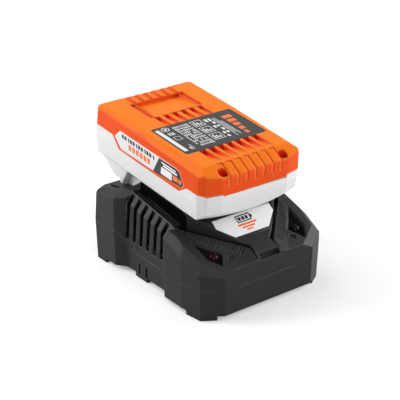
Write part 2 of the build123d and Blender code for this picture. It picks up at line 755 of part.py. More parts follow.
# indicators under the lenses
diodes = []
for side in (-1, 1):
    x, y = side * led_place[0], front_y + led_place[1] + led_offset
    stem_top = board_top + led_stem
    stalk = post(x, y, board_top, stem_top, led_stalk_radius)
    diodes += [stalk + Pos(x, y, stem_top) * Sphere(led_stalk_radius)]
parts["indicator_leds"] = Compound(children=diodes)


def lead(start, out, end):
    """Insulated wire that leaves start in the direction out and stands on the board at end."""
    path = Spline(start, end, tangents=[out, (0, 0, -1)])
    return sweep(Plane(origin=start, z_dir=out) * Circle(wire_outer_radius), path)


wires = []
for side in (-1, 1):
    start = Vector(inlet_x + side * inlet_pin_spacing / 2, inlet_front - inlet_tail, inlet_z)
    wires += [lead(start, Vector(0, -1, 0), Vector(start.X, front_y + board_rear - lead_reach, board_top))]
parts["supply_leads"] = Compound(children=wires)
wires = []
for x in (blade_xs[0], blade_xs[-1]):
    start = (pack_frame * Location((x, blade_root + blade_tail_width / 2, -block_low - blade_tail))).position
    wires += [lead(start, Vector(0, sin(pitch), -cos(pitch)), Vector(x, start.Y + lead_reach, board_top))]
parts["output_leads"] = Compound(children=wires)

# ---------------------------------------------------------------- battery pack: outer body, in its own frame
pack_half = pack_width / 2
pack_plan = [(pack_half - run, back - pack_front) for run, back in nose_facets]
pack_plan += [(pack_half - run, pack_rear - back) for run, back in heel_facet]


def pack_body(inset):
    """Outer body of the pack moved inwards by inset; the widest outline lies at pack_widest."""
    outline = make_face(Polyline(*mirrored(pack_plan), close=True))
    if inset:
        outline = offset(outline, -inset, kind=Kind.INTERSECTION)
    outline = Pos(0, 0, -pack_widest) * outline
    upper = extrude(outline, pack_widest - inset, taper=top_draft)
    upper = fillet(upper.edges().group_by(Axis.Z)[-1], top_round - inset)
    lower = extrude(outline, pack_bottom - pack_widest - inset, dir=(0, 0, -1), taper=pack_draft)
    for start, end, drop in ((-brow_start, -pack_front, brow_drop), (rear_brow_start, pack_rear, rear_brow_drop)):
        near, far = Vector(0, start, -inset), Vector(0, end, -inset - drop)
        upper = upper - above_plane(near, far, near + Vector(nick, 0, 0))
    rear_half, front_half_top = shoulder_halves
    rear_point = Vector(rear_half, rear_brow_start, -inset)
    front_point = Vector(front_half_top, -brow_start, -inset)
    edge_point = Vector(pack_width / 2, -brow_start, -inset - shoulder_drop)
    side_slope = above_plane(rear_point, front_point, edge_point)
    return upper - both_sides(side_slope) + lower


outer = pack_body(0)
hollow = pack_body(pack_wall) - box(-pack_width, pack_width, -pack_front, pack_rear, -crown, nick)
heel_high, heel_low = heel_line
behind = pack_rear + nick
heel = side_prism([heel_high, heel_low, (behind, heel_low[1]), (behind, heel_high[1])], pack_width)
# the foot of the front is cut by the outside of a large drum that lies along the bevel
toe_sag = toe_rise * cos(radians(toe_slope))
drum_radius = (toe_half ** 2 + toe_sag ** 2) / (2 * toe_sag)
drum = Location((0, -pack_front, -toe_depth), (90 - toe_slope, 0, 0)) * Pos(0, drum_radius, 0)
toe = box(-pack_width, pack_width, -pack_front - nick, -tower_front, -pack_bottom - nick, -pack_widest)
toe = toe - drum * Cylinder(drum_radius, pack_width)
outer = outer - heel - toe
hollow = hollow - Pos(0, -pack_wall, pack_wall) * heel - Pos(0, 0, pack_wall / cos(radians(toe_slope))) * toe

# seam between the shells, lower in the middle of the front
seam = [(pack_rear + nick, seam_line[0][1])] + list(seam_line) + [(-pack_front - nick, seam_line[-1][1])]
over_seam = side_prism(seam + [(-pack_front - nick, nick), (pack_rear + nick, nick)], pack_width)
over_seam += box(-front_seam_half, front_seam_half, -pack_front - nick, -pack_front + pack_wall,
                 -front_seam, nick)

# top shell and its relief
top = (outer & over_seam) - hollow
skin = outer - pack_body(groove_depth)
deep_skin = outer - pack_body(heel_notch_depth)
for i in range(rib_count):
    x = (i - (rib_count - 1) / 2) * rib_pitch
    slot_rear = slot_length - slot_front
    ramp = [(-slot_front, nick), (-slot_front, 0), (slot_rear, -slot_depth), (slot_rear, nick)]
    top = top - Pos(x, 0, 0) * side_prism(ramp, slot_width / 2)
    half = nose_groove_width / 2
    stripe = box(x - half, x + half, -pack_front - nick, -brow_start, -nose_groove_end, nick)
    stripe += box(x - rib_pitch / 2, x + half, -brow_start - crease_groove_width, -brow_start, -brow_drop, nick)
    top = top - (stripe & skin)
    if i < rib_count - 1:
        x = x + rib_pitch / 2
        half = heel_notch_width / 2
        notch = box(x - half, x + half, panel_rear + panel_rib, pack_rear + nick, -heel_notch_end, nick)
        top = top - (notch & deep_skin)
        slot_end = panel_front - panel_rib
        ramp = [(slot_end, nick), (slot_end, -heel_slot_depth), (label_rear, -groove_depth), (label_rear, nick)]
        top = top - Pos(x, 0, 0) * side_prism(ramp, heel_slot_width / 2)
panel = [(panel_front, nick), (panel_front, 0), (panel_rear, -panel_depth), (panel_rear, nick)]
top = top - side_prism(panel, panel_half)
channel_in = panel_half + panel_rib
channel_out = channel_in + channel_width
top = top - both_sides(box(channel_in, channel_out, panel_front, panel_rear, -channel_depth, nick))
label_plan = RectangleRounded(2 * label_half, label_rear + label_front, label_corner)
label = extrude(Pos(0, (label_rear - label_front) / 2, -label_thickness) * label_plan, label_thickness)
top = top - label

# side labels, let into the walls
patch = side_prism(side_label, pack_width) & (outer - pack_body(label_thickness))
patch_right = patch & box(0, pack_width, -pack_front, pack_rear, -pack_bottom, 0)
patch_left = patch - box(0, pack_width, -pack_front, pack_rear, -pack_bottom, 0)
top = top - patch

# screw wells in the front slope
screw_x, screw_y = recess_centre
well_front, well_rear = screw_y - recess_length / 2, screw_y + recess_length / 2
well_half = recess_half + recess_wall
tower = box(screw_x - well_half, screw_x + well_half, well_front - recess_wall, well_rear + recess_wall,
            -recess_floor - recess_base, 0) & pack_body(pack_wall / 2)
well = box(screw_x - recess_half, screw_x + recess_half, well_front, well_rear, -recess_floor, nick)
well = fillet(well.edges().filter_by(Axis.Z), recess_corner)
shaft = post(screw_x, screw_y, -recess_floor - pack_screw_length, 0, screw_radius)
top = top + both_sides(tower) - both_sides(well) - both_sides(shaft)
screw = post(screw_x, screw_y, -recess_floor, -recess_floor + screw_head_height, screw_head_radius)
screw = screw - box(screw_x - screw_drive, screw_x + screw_drive, screw_y - screw_slot, screw_y + screw_slot,
                    -recess_floor + screw_head_height / 2, 0)
screw = screw + post(screw_x, screw_y, -recess_floor - pack_screw_length, -recess_floor, screw_radius)

# lower shell with the tail and the rail tower
low = (outer - over_seam) - hollow
low = low + side_prism(tail_outline, tail_half)
post_low = post(screw_x, screw_y, -pack_bottom + pack_wall / 2, -recess_floor - recess_base, boss_radius)
low = low + both_sides((post_low - shaft - toe) & pack_body(pack_wall))
low = low + box(-neck_half, neck_half, -tower_front, tower_rear, -flange_top, -pack_bottom + nick)
low = low + box(-flange_half, flange_half, -tower_front, tower_rear, -flange_bottom, -flange_top)
pack_floor = -pack_bottom + pack_wall
carrier_front = -tower_front + tower_wall
low = low - box(-tower_room_half, tower_room_half, carrier_front, tower_room_rear,
                -flange_bottom + tower_wall, pack_floor)
for x in blade_xs:
    low = low - box(x - blade_slot / 2, x + blade_slot / 2, -tower_front - nick, carrier_front + nick,
                    -blade_depths[1] - blade_play, -blade_depths[0] + blade_play)

# room, bridge and openings for the release button
room_half = button_half + button_wall
low = low - side_prism(button_room, room_half)
bridge = box(-bridge_half, bridge_half, bridge_front, bridge_rear, pack_floor, -bridge_top)
low = low + (bridge - box(-room_half, room_half, bridge_front, bridge_rear, pack_floor, -bridge_bottom))
for half, y0, y1 in ((tooth_half, tooth_front, tooth_rear), (pad_half, pad_front, pad_rear)):
    low = low - box(-half - tooth_play, half + tooth_play, y0 - tooth_play, y1 + tooth_play,
                    -flange_bottom, -button_top)
board_half_width, board_y0, board_y1, board_sheet = pack_board
board_underside = -board_depth - board_sheet
low = low + both_sides(box(board_half_width - board_rail, board_half_width, board_y0, board_y1,
                           pack_floor, board_underside))
holder_x = cell_length / 2
for y in (-holder_post_reach, holder_post_reach - holder_post):
    low = low + both_sides(box(holder_inner, holder_x, y, y + holder_post, pack_floor, -holder_bottom))

# release button
button = box(-button_half, button_half, tooth_front, pad_rear, -button_bottom, -button_top)
button += box(-tooth_half, tooth_half, tooth_front, tooth_rear, -tooth_tip, -button_top)
button += box(-button_half, button_half, tooth_front, button_stop_rear, -button_stop, -button_top)
button += side_prism(pad_outline, pad_half)
spring_height = button_top - bridge_bottom - 2 * spring_wire
turns = Helix(pitch=spring_height / spring_turns, height=spring_height, radius=spring_radius)
coil_wire = sweep(Plane(origin=turns @ 0, z_dir=turns % 0) * Circle(spring_wire), turns, is_frenet=True)
spring = Pos(0, spring_place, -button_top + spring_wire) * coil_wire

# cells, holders, straps, board, carrier and terminals
cells = []
holder = box(holder_inner, holder_x, -holder_reach + cell_middle, holder_reach + cell_middle,
             -holder_bottom, -holder_top)
straps = []
for i in range(cell_count):
    y = cell_middle + (i - (cell_count - 1) / 2) * cell_pitch
    axis = Location((0, y, -cell_depth), (0, 90, 0))
    can_body = axis * Cylinder(cell_radius, cell_length)
    holder = holder - can_body
    cells += [can_body]
for side in (-1, 1):
    for k in range(cell_count // 2 + (side > 0)):
        first = 2 * k - (side > 0)
        ya = cell_middle + (max(first, 0) - (cell_count - 1) / 2) * cell_pitch
        yb = cell_middle + (min(first + 1, cell_count - 1) - (cell_count - 1) / 2) * cell_pitch
        x = side * cell_length / 2
        straps += [box(x, x + side * strap_thickness, ya - strap_width / 2, yb + strap_width / 2,
                       -cell_depth - strap_width / 2, -cell_depth + strap_width / 2)]
pcb = box(-board_half_width, board_half_width, board_y0, board_y1, board_underside, -board_depth)
y0, y1 = carrier_front, carrier_front + carrier_length - carrier_back
comb = box(-carrier_half, carrier_half, y0, y0 + carrier_length, -flange_bottom + tower_wall, -carrier_top)
forks = []
for x in blade_xs:
    comb = comb - box(x - fork_room, x + fork_room, y0 - nick, y1, -flange_bottom, -carrier_top + nick)
    fork = box(x - fork_outer, x + fork_outer, y0 + fork_sheet, y1,
               -blade_depths[1] - blade_play, -blade_depths[0] + blade_play)
    fork = fork - box(x - fork_inner, x + fork_inner, y0 - nick, y1 - fork_sheet, -flange_bottom, -carrier_top)
    fork = fork + box(x - fork_sheet, x + fork_sheet, y1 - fork_sheet, y1, -blade_depths[0], board_underside)
    forks += [fork]

pack_parts = {
    "pack_top_shell": top,
    "pack_lower_shell": low,
    "top_label": label,
    "side_label_right": patch_right,
    "side_label_left": patch_left,
    "pack_cells": Compound(children=cells),
    "cell_holder_right": holder,
    "cell_holder_left": mirror(holder, about=Plane.YZ),
    "cell_straps": Compound(children=straps),
    "pack_circuit_board": pcb,
    "terminal_carrier": comb,
    "pack_terminals": Compound(children=forks),
    "pack_screws": Compound(children=both_sides(screw)),
    "release_button": button,
    "release_spring": spring,
}
for name, shape in pack_parts.items():
    parts[name] = pack_frame * shape

os.makedirs("parts", exist_ok=True)
for name, shape in parts.items():
    export_step(shape, "parts/" + name + ".step")
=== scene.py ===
from math import cos, radians, sin, tau

import bmesh
import bpy
from mathutils import Matrix, Vector


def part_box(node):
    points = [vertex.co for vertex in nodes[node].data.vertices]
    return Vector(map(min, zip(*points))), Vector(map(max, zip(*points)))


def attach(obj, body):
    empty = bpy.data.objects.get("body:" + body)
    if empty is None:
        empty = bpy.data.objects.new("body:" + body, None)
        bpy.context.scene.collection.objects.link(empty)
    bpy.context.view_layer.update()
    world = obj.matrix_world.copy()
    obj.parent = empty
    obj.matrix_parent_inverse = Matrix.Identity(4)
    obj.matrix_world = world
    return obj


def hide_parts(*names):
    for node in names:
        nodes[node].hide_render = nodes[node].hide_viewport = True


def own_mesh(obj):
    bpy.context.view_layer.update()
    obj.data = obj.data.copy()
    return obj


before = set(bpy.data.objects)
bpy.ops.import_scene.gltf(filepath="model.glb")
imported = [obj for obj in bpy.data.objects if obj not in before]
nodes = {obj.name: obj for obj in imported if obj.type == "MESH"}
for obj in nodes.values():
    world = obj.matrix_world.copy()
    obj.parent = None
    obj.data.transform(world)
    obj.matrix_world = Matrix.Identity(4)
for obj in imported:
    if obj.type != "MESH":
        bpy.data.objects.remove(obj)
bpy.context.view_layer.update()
scene = bpy.context.scene
scene.view_settings.view_transform = "Standard"

# Camera: a long lens in front of the left corner, a little above the set.
# It looks 25 degrees down and 37 degrees to the right of straight ahead.
camera_dip, camera_turn = 25.09, 37.33
camera_data = bpy.data.cameras.new("camera")
camera_data.sensor_width = 36.0
camera_data.lens = 112.41
camera = bpy.data.objects.new("camera", camera_data)
camera.location = (-0.46497, -0.60728, 0.40599)
camera.rotation_euler = (radians(90 - camera_dip), 0, radians(-camera_turn))
scene.collection.objects.link(camera)
scene.camera = camera

# Studio: a white sweep under plain soft light, with large lamps above the back, at both sides and in front.
# The front stays a little darker than the left side, and the sweep glows towards the horizon.
lamp_target = Vector((0, 0, 0.05))


def soft_lamp(name, place, size, watts):
    """Square area lamp that looks at the middle of the set."""
    data = bpy.data.lights.new(name, "AREA")
    data.size = size
    data.energy = watts
    lamp = bpy.data.objects.new(name, data)
    lamp.location = place
    lamp.rotation_euler = (lamp_target - lamp.location).to_track_quat("-Z", "Y").to_euler()
    scene.collection.objects.link(lamp)


soft_lamp("lamp_top", (-0.2, 0.4, 0.95), size=0.7, watts=3.6)
soft_lamp("lamp_left", (-0.74, 0.66, 0.55), size=0.6, watts=8.8)
soft_lamp("lamp_right", (0.85, -0.35, 0.4), size=0.6, watts=7.6)
soft_lamp("lamp_front", (-0.15, -1.0, 0.55), size=0.7, watts=4.2)


def feed(tree, node, inputs):
    """Set a node's inputs to plain values, or link them to the outputs of other nodes."""
    for key, value in inputs.items():
        if isinstance(value, bpy.types.NodeSocket):
            tree.links.new(value, node.inputs[key])
        else:
            node.inputs[key].default_value = value


def add(tree, kind, inputs=None, **settings):
    """New node of a tree with its settings and its fed inputs."""
    node = tree.nodes.new(kind)
    for name, value in settings.items():
        setattr(node, name, value)
    feed(tree, node, inputs or {})
    return node


def maths(tree, operation, *terms):
    """Output of one calculation on plain values and other outputs."""
    return add(tree, "ShaderNodeMath", dict(enumerate(terms)), operation=operation).outputs[0]


def mapped(tree, value, low, high, to_low=0.0, to_high=1.0):
    """Output that runs between two targets while a value goes from low to high."""
    ends = {"Value": value, "From Min": low, "From Max": high, "To Min": to_low, "To Max": to_high}
    return add(tree, "ShaderNodeMapRange", ends).outputs["Result"]


def seen_rays(tree):
    """Output that is 1 for the rays that show the backdrop itself, straight, mirrored or through glass."""
    path = add(tree, "ShaderNodeLightPath").outputs
    mirrored = maths(tree, "MAXIMUM", path["Is Camera Ray"], path["Is Glossy Ray"])
    return maths(tree, "MAXIMUM", mirrored, path["Is Transmission Ray"])


room_glow, seen_glow = 0.08, 1.0
sky = bpy.data.worlds.new("studio")
sky.use_nodes = True
scene.world = sky
sky_tree = sky.node_tree
sky_glow = mapped(sky_tree, seen_rays(sky_tree), 0.0, 1.0, room_glow, seen_glow)
feed(sky_tree, sky_tree.nodes["Background"], {"Color": (1, 1, 1, 1), "Strength": sky_glow})


def bare_material(name):
    """New material with its node tree and its shader."""
    made = bpy.data.materials.new(name)
    made.use_nodes = True
    return made, made.node_tree, made.node_tree.nodes["Principled BSDF"]


floor_half = 4.0
floor_mesh = bpy.data.meshes.new("floor")
floor_mesh.from_pydata([(-floor_half, -floor_half, 0), (floor_half, -floor_half, 0),
                        (floor_half, floor_half, 0), (-floor_half, floor_half, 0)], [], [(0, 1, 2, 3)])
floor = bpy.data.objects.new("floor", floor_mesh)
scene.collection.objects.link(floor)
near, far = 0.25, 0.9
near_glow, far_glow = 0.3, 0.95
sweep, sweep_tree, sweep_shader = bare_material("white_sweep")
sweep_place = add(sweep_tree, "ShaderNodeTexCoord").outputs["Object"]
sweep_reach = add(sweep_tree, "ShaderNodeVectorMath", {0: sweep_place}, operation="LENGTH").outputs["Value"]
sweep_glow = maths(sweep_tree, "MULTIPLY", seen_rays(sweep_tree),
                   mapped(sweep_tree, sweep_reach, near, far, near_glow, far_glow))
feed(sweep_tree, sweep_shader, {
    "Base Color": (0.86, 0.86, 0.86, 1), "Roughness": 0.9, "Specular IOR Level": 0.0,
    "Emission Color": (1, 1, 1, 1), "Emission Strength": sweep_glow})
floor_mesh.materials.append(sweep)

# Charger base: the lower tray of charcoal moulding with its feet and screw wells.
# Injection-moulded glass-filled nylon, with a fine spark-eroded grain on its outer faces.


def new_group(name, kind, inputs, outputs):
    """Node group with its named sockets, its inputs to read from and its end node to feed."""
    group = bpy.data.node_groups.new(name, kind)
    for way, sockets in (("INPUT", inputs), ("OUTPUT", outputs)):
        for label, form in sockets.items():
            group.interface.new_socket(label, in_out=way, socket_type="NodeSocket" + form)
    return group, add(group, "NodeGroupInput").outputs, add(group, "NodeGroupOutput")


def mixed(tree, share, first, second, **settings):
    """Colour output between two colours."""
    parts = {"Factor": share, "A": first, "B": second}
    return add(tree, "ShaderNodeMix", parts, data_type="RGBA", **settings).outputs["Result"]


def noise(tree, place, scale, detail=2.0):
    """Output of plain noise at a place."""
    parts = {"Vector": place, "Scale": scale, "Detail": detail}
    return add(tree, "ShaderNodeTexNoise", parts).outputs["Fac"]


def moulded_skin():
    """Shared effect: eroded grain and flow clouds of a moulded face, with painted shade in its hollows,
    painted light on faces that look up and painted highlights along its edges.
    """
    samples, cloud_scale, cloud_detail = 8, 45.0, 3.0
    shut, open_wide = 0.3, 0.8
    leaning, level = 0.3, 0.98
    flat, broken = 0.995, 0.94
    patch_low, patch_high = 0.3, 0.6
    middle_shade, grain_share, cloud_roughness = 0.94, 0.12, 1.2
    group, given, out = new_group("moulded_skin", "ShaderNodeTree", {
        "Colour": "Color", "Top Light Colour": "Color", "Hollow Shade Colour": "Color", "Edge Highlight Colour": "Color",
        "Grain Scale": "Float", "Cloud": "Float", "Roughness": "Float", "Hollow Reach": "Float",
        "Edge Highlight": "Float", "Edge Radius": "Float",
    }, {"Colour": "Color", "Roughness": "Float", "Height": "Float", "Normal": "Vector"})
    place = add(group, "ShaderNodeTexCoord").outputs["Object"]
    # Painted shade: the colour goes over to the hollow shade colour where the face's own occlusion closes in.
    closed = add(group, "ShaderNodeAmbientOcclusion", {"Distance": given["Hollow Reach"]},
                 samples=samples, only_local=True)
    open_share = mapped(group, closed.outputs["AO"], shut, open_wide)
    bevel = add(group, "ShaderNodeBevel", {"Radius": given["Edge Radius"]}, samples=samples)
    rounded = bevel.outputs["Normal"]
    # Painted light: the colour goes over to the lighter top colour where the rounded normal looks up.
    facing = add(group, "ShaderNodeSeparateXYZ", {"Vector": rounded}).outputs["Z"]
    top_lit = mixed(group, mapped(group, facing, leaning, level), given["Colour"], given["Top Light Colour"])
    base = mixed(group, open_share, given["Hollow Shade Colour"], top_lit)
    grain = noise(group, place, given["Grain Scale"])
    clouds = noise(group, place, cloud_scale, cloud_detail)
    # Painted highlight: a pale edge colour along rounded edges, broken into cloudy patches and kept out of
    # the hollows.
    plain = add(group, "ShaderNodeNewGeometry").outputs["Normal"]
    agree = add(group, "ShaderNodeVectorMath", {0: rounded, 1: plain}, operation="DOT_PRODUCT")
    edge_highlight = mapped(group, agree.outputs["Value"], flat, broken)
    for share in (mapped(group, clouds, patch_low, patch_high), open_share, given["Edge Highlight"]):
        edge_highlight = maths(group, "MULTIPLY", edge_highlight, share)
    edged = mixed(group, edge_highlight, base, given["Edge Highlight Colour"])
    spread = maths(group, "MULTIPLY", maths(group, "SUBTRACT", clouds, 0.5), given["Cloud"])
    shade = maths(group, "ADD", maths(group, "MULTIPLY_ADD", grain, grain_share, spread), middle_shade)
    feed(group, out, {
        "Colour": mixed(group, 1.0, edged, shade, blend_type="MULTIPLY"),
        "Roughness": maths(group, "MULTIPLY_ADD", spread, cloud_roughness, given["Roughness"]),
        "Height": grain, "Normal": rounded})
    return group


skin = moulded_skin()
skin_strength = 0.6


def moulded(name, colour, roughness, grain_scale=2500.0, depth=0.00003, cloud=0.08, gloss=0.5, hollow_shade=None,
            top_light=None, reach=0.006, edge=None, edge_highlight=0.0, edge_radius=0.0008):
    """Moulded plastic, with painted shade in its hollows, painted light where it looks up and painted
    highlights along its edges.
    """
    made, tree, shader = bare_material(name)
    # The hollow, upper and edge colours are painted shade, painted light and painted highlights, not colours
    # of the plastic.
    face = add(tree, "ShaderNodeGroup", {
        "Colour": (*colour, 1), "Top Light Colour": (*(top_light or colour), 1),
        "Hollow Shade Colour": (*(hollow_shade or colour), 1), "Edge Highlight Colour": (*(edge or colour), 1),
        "Grain Scale": grain_scale, "Cloud": cloud, "Roughness": roughness, "Hollow Reach": reach,
        "Edge Highlight": edge_highlight, "Edge Radius": edge_radius}, node_tree=skin).outputs
    bump = add(tree, "ShaderNodeBump", {"Distance": depth, "Strength": skin_strength,
                                        "Height": face["Height"], "Normal": face["Normal"]})
    feed(tree, shader, {"Specular IOR Level": gloss, "Base Color": face["Colour"],
                        "Roughness": face["Roughness"], "Normal": bump.outputs["Normal"]})
    return made


doubled_gap, sliver_gap = 2e-6, 3e-6
sharp_from, curved_from, curved_to, curved_area = radians(18), radians(0.5), radians(15), 2e-5
own_radii, next_radii = 3, 2.2


def placed(name, mesh, body):
    """Object for a finished mesh that rides on a body."""
    piece = bpy.data.objects.new(name, mesh)
    scene.collection.objects.link(piece)
    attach(piece, body)
    return piece


def merged_copy(node, name, material):
    """Copy of a CAD solid's mesh in one material, open for editing with its doubled points merged."""
    mesh = nodes[node].data.copy()
    mesh.name = name
    mesh.materials.clear()
    mesh.materials.append(material)
    made = bmesh.new()
    made.from_mesh(mesh)
    bmesh.ops.remove_doubles(made, verts=made.verts, dist=doubled_gap)
    return mesh, made


def with_broken_edges(name, radius, material, body, stays_sharp=lambda point: False):
    """A shell with its long edges broken by a small radius, in place of its plain solid."""
    mesh, made = merged_copy(name, name + "_shell", material)
    weight = made.edges.layers.float.new("bevel_weight_edge")
    sharp = {e for e in made.edges if e.is_manifold and e.calc_face_angle(0) > sharp_from}

    def has_room(edge):
        if all(stays_sharp(v.co) for v in edge.verts):
            return False
        ends = {other for v in edge.verts for other in v.link_edges if other in sharp and other != edge}
        clear = all(e.calc_length() >= next_radii * radius for e in ends)
        return clear and edge.calc_length() > own_radii * radius

    for edge in sharp:
        edge[weight] = 1.0 if has_room(edge) else 0.0
    for face in made.faces:
        curved = any(curved_from < e.calc_face_angle(0) < curved_to for e in face.edges)
        face.smooth = curved and face.calc_area() < curved_area
    made.to_mesh(mesh)
    made.free()
    piece = placed(name + "_shell", mesh, body)
    bevel = piece.modifiers.new("broken edges", "BEVEL")
    bevel.width = radius
    bevel.segments = 2
    bevel.limit_method = "WEIGHT"
    bevel.use_clamp_overlap = False
    bevel.miter_outer = "MITER_SHARP"
    merged = piece.modifiers.new("merged ends", "WELD")
    merged.merge_threshold = sliver_gap
    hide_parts(name)


def height_on(line, setback):
    """Height of a line of setbacks and heights at a setback behind the front, in millimetres."""
    (s0, z0), (s1, z1) = line
    return z0 + (z1 - z0) * (setback - s0) / (s1 - s0)


charger_front = -71.95
parting_line = ((-1.9, 21.5), (9.1, 21.9), (26.6, 21.3), (48.1, 17.0), (90.1, 18.5), (100.1, 30.3),
                (119.1, 28.3), (129.0, 27.2))
parting_band = 0.4


def on_parting(point):
    """Whether a point lies on the joint line between the two housings, whose edges stay crisp."""
    setback, height = point.y * 1000 - charger_front, point.z * 1000
    for part in zip(parting_line, parting_line[1:]):
        if part[0][0] <= setback <= part[1][0]:
            return abs(height - height_on(part, setback)) < parting_band
    return False


# Painted on the charcoal: near-black shade in its hollows and pale highlights along its edges.
charcoal = moulded("charcoal_nylon", (0.007, 0.007, 0.0072), roughness=0.52, gloss=0.25,
                   hollow_shade=(0.0008, 0.0008, 0.0008), reach=0.009, edge=(0.075, 0.075, 0.075), edge_highlight=0.8)
with_broken_edges("charger_base_housing", 0.0004, charcoal, "charger", on_parting)

# Circuit boards: glass-fibre laminate under green solder mask, with tinned tracks showing through.
# The charger's board is screwed to four posts, and the pack's board rides over the rail tower.


def board_mask():
    """Shared effect: tracks and pads of a circuit board, seen along its normal."""
    group, given, out = new_group("board_mask", "ShaderNodeTree", {"Track Pitch": "Float"},
                                  {"Tracks": "Float", "Pads": "Float"})
    place = add(group, "ShaderNodeTexCoord").outputs["Object"]
    stagger, track_width, track_fade, pad_radius = 0.37, 0.06, 0.1, 0.16
    tracks = add(group, "ShaderNodeTexBrick", {
        "Vector": place, "Scale": given["Track Pitch"], "Mortar Size": track_width,
        "Mortar Smooth": track_fade, "Mortar": (1, 1, 1, 1), "Color1": (0, 0, 0, 1),
        "Color2": (0.25, 0.25, 0.25, 1)}, offset=stagger)
    pads = add(group, "ShaderNodeTexVoronoi", {"Vector": place, "Scale": given["Track Pitch"]})
    feed(group, out, {"Tracks": tracks.outputs["Color"],
                      "Pads": maths(group, "LESS_THAN", pads.outputs["Distance"], pad_radius)})
    return group


laminate, laminate_tree, laminate_shader = bare_material("board_laminate")
board_print = add(laminate_tree, "ShaderNodeGroup", {"Track Pitch": 260.0}, node_tree=board_mask()).outputs
solder_mask = mixed(laminate_tree, board_print["Tracks"], (0.012, 0.09, 0.03, 1), (0.035, 0.2, 0.07, 1))
feed(laminate_tree, laminate_shader, {
    "Base Color": mixed(laminate_tree, board_print["Pads"], solder_mask, (0.6, 0.58, 0.5, 1)),
    "Metallic": board_print["Pads"], "Roughness": 0.35, "Coat Weight": 0.5})


def dress(material, *names):
    """Give CAD solids their finish."""
    for name in names:
        for place in nodes[name].material_slots:
            place.material = material


dress(laminate, "charger_circuit_board", "pack_circuit_board")

# Screws, contacts and other bright metal: zinc-plated steel, tinned copper and nickel strip.
# Turned or stamped, so that fine drawing lines run over them.


def drawn_metal():
    """Shared effect: fine lines of drawing and stamping, with a little tarnish."""
    group, given, out = new_group("drawn_metal", "ShaderNodeTree", {
        "Bright": "Color", "Tarnish": "Color", "Line Scale": "Vector", "Roughness": "Float",
    }, {"Colour": "Color", "Roughness": "Float", "Height": "Float"})
    place = add(group, "ShaderNodeTexCoord").outputs["Object"]
    stretch = add(group, "ShaderNodeVectorMath", {0: place, 1: given["Line Scale"]}, operation="MULTIPLY")
    stain_scale, stain_detail, clean, stained, line_roughness = 220.0, 4.0, 0.45, 0.8, 0.2
    lines = noise(group, stretch.outputs["Vector"], 1.0)
    stains = noise(group, place, stain_scale, stain_detail)
    feed(group, out, {
        "Colour": mixed(group, mapped(group, stains, clean, stained), given["Bright"], given["Tarnish"]),
        "Roughness": maths(group, "MULTIPLY_ADD", lines, line_roughness, given["Roughness"]),
        "Height": lines})
    return group


metal_face = drawn_metal()
across_x, across_y, across_z = (4000.0, 300.0, 300.0), (300.0, 4000.0, 300.0), (300.0, 300.0, 4000.0)
line_depth, line_strength = 0.00001, 0.5


def metal(name, bright, tarnish, roughness, line_scale=across_y):
    """Bare metal with the shared drawing lines."""
    made, tree, shader = bare_material(name)
    face = add(tree, "ShaderNodeGroup", {
        "Bright": (*bright, 1), "Tarnish": (*tarnish, 1), "Line Scale": line_scale, "Roughness": roughness,
    }, node_tree=metal_face).outputs
    bump = add(tree, "ShaderNodeBump", {"Distance": line_depth, "Strength": line_strength,
                                        "Height": face["Height"]})
    feed(tree, shader, {"Metallic": 1.0, "Base Color": face["Colour"], "Roughness": face["Roughness"],
                        "Normal": bump.outputs["Normal"]})
    return made


zinc = metal("zinc_plate", (0.62, 0.63, 0.65), (0.4, 0.4, 0.4), roughness=0.28)
tinned = metal("tinned_copper", (0.78, 0.72, 0.6), (0.55, 0.45, 0.33), roughness=0.22)
nickel = metal("nickel_strip", (0.68, 0.67, 0.64), (0.5, 0.48, 0.44), roughness=0.25, line_scale=across_x)
dress(zinc, "board_screws", "housing_screws", "pack_screws")
dress(tinned, "inlet_pins", "contact_blades", "pack_terminals")
dress(nickel, "cell_straps")

# Power parts on the board: ferrite core, taped winding, sleeved capacitors, fuse and heat sink.
# They are soldered to the board, and the transistors are clipped against the heat sink.


def wound(name, colour, turn_scale, direction, roughness):
    """Wire or tape laid in turns across one axis."""
    made, tree, shader = bare_material(name)
    unevenness, turn_depth, gap_shade = 0.6, 0.0002, 0.45
    turns = add(tree, "ShaderNodeTexWave", {
        "Vector": add(tree, "ShaderNodeTexCoord").outputs["Object"], "Scale": turn_scale,
        "Distortion": unevenness, "Detail Scale": 0.5}, bands_direction=direction).outputs
    bump = add(tree, "ShaderNodeBump", {"Distance": turn_depth, "Height": turns["Fac"]})
    # The gaps between the turns are painted darker, as shade.
    gap = (*(gap_shade * c for c in colour), 1)
    feed(tree, shader, {"Base Color": mixed(tree, turns["Color"], gap, (*colour, 1)),
                        "Roughness": roughness, "Normal": bump.outputs["Normal"]})
    return made


ferrite = moulded("sintered_ferrite", (0.03, 0.03, 0.032), roughness=0.55, grain_scale=1800.0, depth=0.00006,
                  cloud=0.2)
tape = wound("winding_tape", (0.62, 0.42, 0.05), turn_scale=420.0, direction="Z", roughness=0.35)
enamel = wound("enamelled_wire", (0.55, 0.16, 0.04), turn_scale=300.0, direction="DIAGONAL", roughness=0.3)
sleeve = moulded("capacitor_sleeve", (0.02, 0.022, 0.03), roughness=0.3, grain_scale=900.0, depth=0.00002,
                 cloud=0.1)
fuse_cap = metal("fuse_cap", (0.7, 0.7, 0.68), (0.5, 0.5, 0.5), roughness=0.25)
aluminium = metal("sink_aluminium", (0.62, 0.63, 0.64), (0.5, 0.5, 0.5), roughness=0.4, line_scale=across_z)
epoxy = moulded("epoxy_case", (0.018, 0.018, 0.018), roughness=0.4, grain_scale=3000.0, cloud=0.15)
wire_sleeve = moulded("wire_sleeve", (0.03, 0.03, 0.032), roughness=0.35, grain_scale=1200.0, depth=0.00001,
                      cloud=0.1)
led_epoxy = moulded("led_epoxy", (0.25, 0.02, 0.02), roughness=0.12, grain_scale=800.0, depth=0.000005,
                    cloud=0.05)
